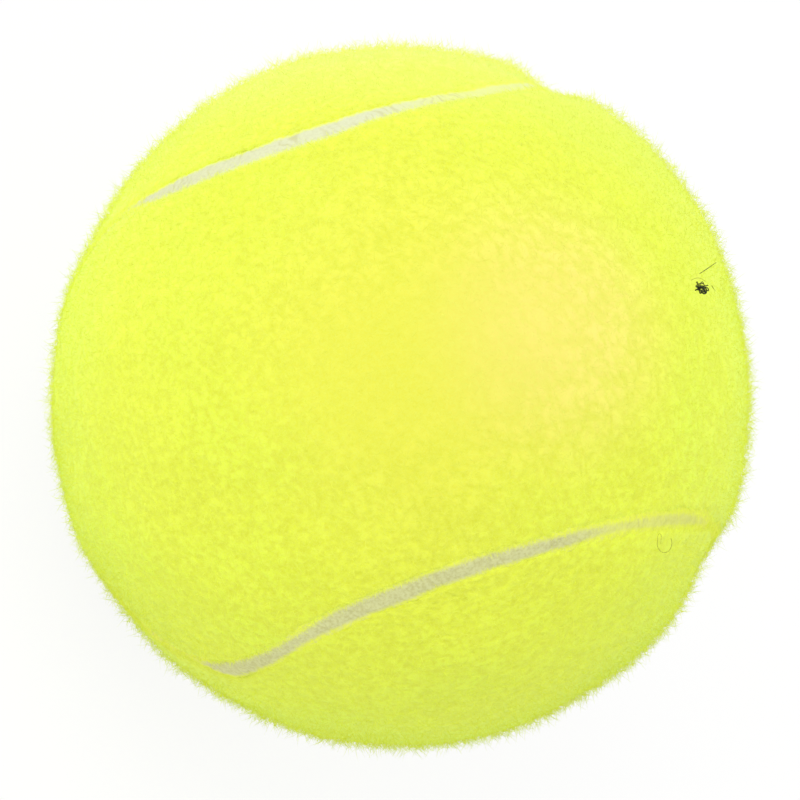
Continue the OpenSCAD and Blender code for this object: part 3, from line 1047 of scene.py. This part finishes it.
def build_picked(shape, rubber):
    """Small things caught in the nap. The nep is a zigzag: a cosine along its strands, whose
    reach swells and shrinks, and a steady step across them with small loops. The loop is about
    two thirds of an ellipse with a hooked end."""
    dark = fibre_material("dark_wool_fibre", rubber.speck)
    coarse = fibre_material("coarse_dyed_hair", rubber.coarse)
    t = np.linspace(-1, 1, 300)
    # The strands run to and fro, down to the photo's right, and step across each time
    along = 0.0175 * np.cos(6 * math.pi * t + 0.4) * (1 - 0.5 * t ** 2 + 0.25 * np.sin(7 * t))
    across = 0.0115 * t + 0.0025 * np.sin(9 * t) + 0.003 * np.sin(17 * math.pi * t)
    c, s = math.cos(NEP_SLANT), math.sin(NEP_SLANT)
    nep = np.stack([NEP_AT[0] + along * c - across * s, NEP_AT[1] + along * s + across * c], -1)
    nep = proud(nep, 0.022)
    nep[:, 2] += 0.005 * np.sin(17 * t)
    arch = np.linspace(*ARCH_ENDS, 12)
    arch[:, 1] += ARCH_RISE * np.sin(np.linspace(0, math.pi, 12))
    bend = np.radians(np.linspace(35, -200, 30))
    hook = np.radians(np.linspace(170, 10, 8))
    loop = np.concatenate([np.stack([0.021 * np.cos(bend), 0.027 * np.sin(bend)], -1),
                           np.stack([0.005 * np.cos(hook) - 0.0145,
                                     0.009 * np.sin(hook) + 0.018], -1),
                           np.linspace((-0.010, 0.014), (-0.011, -0.006), 5)])
    hair, sliver = np.linspace(*HAIR_ENDS, 12), np.linspace(*SLIVER_ENDS, 6)
    axes = np.stack([CAMERA_RIGHT, CAMERA_UP, CAMERA_BACK])
    for name, places, thick, material in (
            ("dark_nep", nep, 0.16 * MM, dark), ("dark_hair", hair, 0.09 * MM, dark),
            ("dark_sliver", proud(sliver, 0.018), 0.06 * MM, dark),
            ("coarse_arch", proud(arch, 0.018), 0.055 * MM, coarse),
            ("coarse_loop", proud(loop + LOOP_AT, 0.014), 0.055 * MM, coarse)):
        path = places @ axes * shape.ball_r
        add_fibres(name, path[None], np.array([thick / 2]), material)


# Stage

KEY_WAY = np.array([0.464, -0.369, 0.804])  # from the ball to the soft box
KEY_TINT = (1.0, 0.985, 0.94)
FLOOR_GAP = 0.25 * MM
SENSOR_W = 36.0  # the camera's, in millimetres
CLIP = (0.05, 20.0)  # the nearest and the furthest that the camera sees


def seen_directly(tree):
    """1 for rays that come from the camera, also by way of a mirror or glass, and else 0."""
    path = add_node(tree, "LightPath").outputs
    seen = add_node(tree, "Math", {0: path["Is Camera Ray"], 1: path["Is Glossy Ray"]},
                    operation="MAXIMUM")
    return add_node(tree, "Math", {0: seen.outputs[0], 1: path["Is Transmission Ray"]},
                    operation="MAXIMUM").outputs[0]


def build_stage(shape, look):
    scene = bpy.context.scene
    floor_material = bpy.data.materials.new("pale_studio_floor")
    tree = empty_tree(floor_material)
    matt = add_node(tree, "BsdfPrincipled", {"Base Color": rgba(look.floor), "Roughness": 0.9,
                                             "Specular IOR Level": 0.1})
    # Seen directly, the floor is mostly even white, with a tenth of its real light and shadow
    white = add_node(tree, "Math", {0: seen_directly(tree), 1: look.floor_white},
                     operation="MULTIPLY")
    glow = add_node(tree, "Emission", {"Strength": 1.0})
    both = add_node(tree, "MixShader", {0: white.outputs[0], 1: matt.outputs[0],
                                        2: glow.outputs[0]})
    add_node(tree, "OutputMaterial", {"Surface": both.outputs[0]})
    half, level = look.floor_half, -shape.ball_r - FLOOR_GAP
    corners = np.array([[-half, -half, level], [half, -half, level], [half, half, level],
                        [-half, half, level]])
    make_piece("studio_floor", corners, [np.array([[0, 1, 2, 3]])], floor_material)

    scene.world = bpy.data.worlds.new("studio")
    tree = empty_tree(scene.world)
    level = add_node(tree, "MapRange", {"Value": seen_directly(tree), "To Min": look.ambient,
                                        "To Max": 1.0})
    sky = add_node(tree, "Background", {"Strength": level.outputs[0]})
    add_node(tree, "OutputWorld", {"Surface": sky.outputs[0]})

    lamp = bpy.data.lights.new("key_soft_box", "AREA")
    lamp.shape, lamp.size, lamp.energy = "DISK", look.key_w, look.key
    lamp.color = KEY_TINT
    back = unit(KEY_WAY)
    right = unit(np.cross([0, 0, 1], back))
    add_to_studio("key_soft_box", lamp, KEY_WAY * look.key_far, right, np.cross(back, right), back)

    camera = bpy.data.cameras.new("photo_camera")
    pixel = shape.ball_r / OUTLINE_PX
    spot = (CAMERA_BACK * look.camera_far - CAMERA_RIGHT * RIGHT_PX * pixel
            - CAMERA_UP * ABOVE_PX * pixel)
    scene.camera = add_to_studio("photo_camera", camera, spot, CAMERA_RIGHT, CAMERA_UP,
                                 CAMERA_BACK)
    outline = math.tan(math.asin(shape.ball_r / look.camera_far))
    camera.sensor_width = SENSOR_W
    camera.lens = SENSOR_W / 2 * look.outline_share / outline
    camera.clip_start, camera.clip_end = CLIP
    scene.view_settings.view_transform = "Standard"


def add_to_studio(name, data, spot, right, up, back):
    """Adds a camera or lamp at the spot, with its own x, y and z along the three directions."""
    item = bpy.data.objects.new(name, data)
    bpy.context.scene.collection.objects.link(item)
    matrix = np.eye(4)
    matrix[:3, :3] = np.stack([unit(np.asarray(v, float)) for v in (right, up, back)], 1)
    matrix[:3, 3] = spot
    item.matrix_world = Matrix(matrix.tolist())
    return item


# Operators, panel and run

class BALL_OT_inner_finishes(bpy.types.Operator):
    """Gives the core, its joint and the cement under the felt their finishes"""
    bl_idname = "ball.inner_finishes"
    bl_label = "Finish core and cements"

    def execute(self, context):
        look = context.scene.ball_rubber
        core = moulded_core_material(look)
        joint = cement_material("cured_joint_cement", look.joint, 1.5 * MM, 0.5)
        backing = cement_material("brushed_backing_cement", look.backing, 0.8 * MM, 0.65)
        finishes = {"core_half_upper": core, "core_half_lower": core,
                    "core_joint_cement": joint, "panel_a_backing_cement": backing,
                    "panel_b_backing_cement": backing}
        for name, material in finishes.items():
            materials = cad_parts[name].data.materials
            materials.clear()
            materials.append(material)
        return {"FINISHED"}


class BALL_OT_seam(bpy.types.Operator):
    """Builds the rubber seam between the felt panels"""
    bl_idname = "ball.seam"
    bl_label = "Build seam"

    def execute(self, context):
        scene = context.scene
        build_seam(scene.ball_shape, scene.ball_rubber, scene.ball_felt)
        return {"FINISHED"}


class BALL_OT_felt(bpy.types.Operator):
    """Builds both felt panels and the nap and fuzz that stand on them"""
    bl_idname = "ball.felt"
    bl_label = "Build felt"

    def execute(self, context):
        shape, look = context.scene.ball_shape, context.scene.ball_felt
        nap = context.scene.ball_nap
        covers = build_panels(shape, look)
        fibres = build_nap(shape, look, nap) + build_fringe(shape, look, nap)
        fibres += build_fuzz(shape, look, nap)
        return {"FINISHED"}


class BALL_OT_picked_fibres(bpy.types.Operator):
    """Builds the dark nep, its hair and the coarse loop that the felt picked up"""
    bl_idname = "ball.picked_fibres"
    bl_label = "Build picked-up fibres"

    def execute(self, context):
        build_picked(context.scene.ball_shape, context.scene.ball_rubber)
        return {"FINISHED"}


class BALL_OT_stage(bpy.types.Operator):
    """Builds the floor, the lights and the camera"""
    bl_idname = "ball.stage"
    bl_label = "Build studio"

    def execute(self, context):
        build_stage(context.scene.ball_shape, context.scene.ball_stage)
        return {"FINISHED"}


class BALL_PT_builder(bpy.types.Panel):
    """Lists the operators and the sizes in the 3D view's sidebar"""
    bl_label = "Tennis Ball"
    bl_idname = "BALL_PT_builder"
    bl_space_type = "VIEW_3D"
    bl_region_type = "UI"
    bl_category = "Tennis Ball"

    def draw(self, context):
        for operator in OPERATORS:
            self.layout.operator(operator.bl_idname)
        for key, group in SHAPES.items():
            box = self.layout.box()
            for name in group.__annotations__:
                box.prop(getattr(context.scene, key), name)


OPERATORS = (BALL_OT_stage, BALL_OT_inner_finishes, BALL_OT_seam, BALL_OT_felt,
             BALL_OT_picked_fibres)


def register():
    for cls in (*SHAPES.values(), *OPERATORS, BALL_PT_builder):
        bpy.utils.register_class(cls)
    for key, group in SHAPES.items():
        setattr(bpy.types.Scene, key, PointerProperty(type=group))


def unregister():
    for key in SHAPES:
        delattr(bpy.types.Scene, key)
    for cls in (BALL_PT_builder, *reversed(OPERATORS), *reversed(SHAPES.values())):
        bpy.utils.unregister_class(cls)


def main():
    register()
    for operator in OPERATORS:
        getattr(bpy.ops.ball, operator.bl_idname.split(".")[1])()


if __name__ == "__main__":
    main()
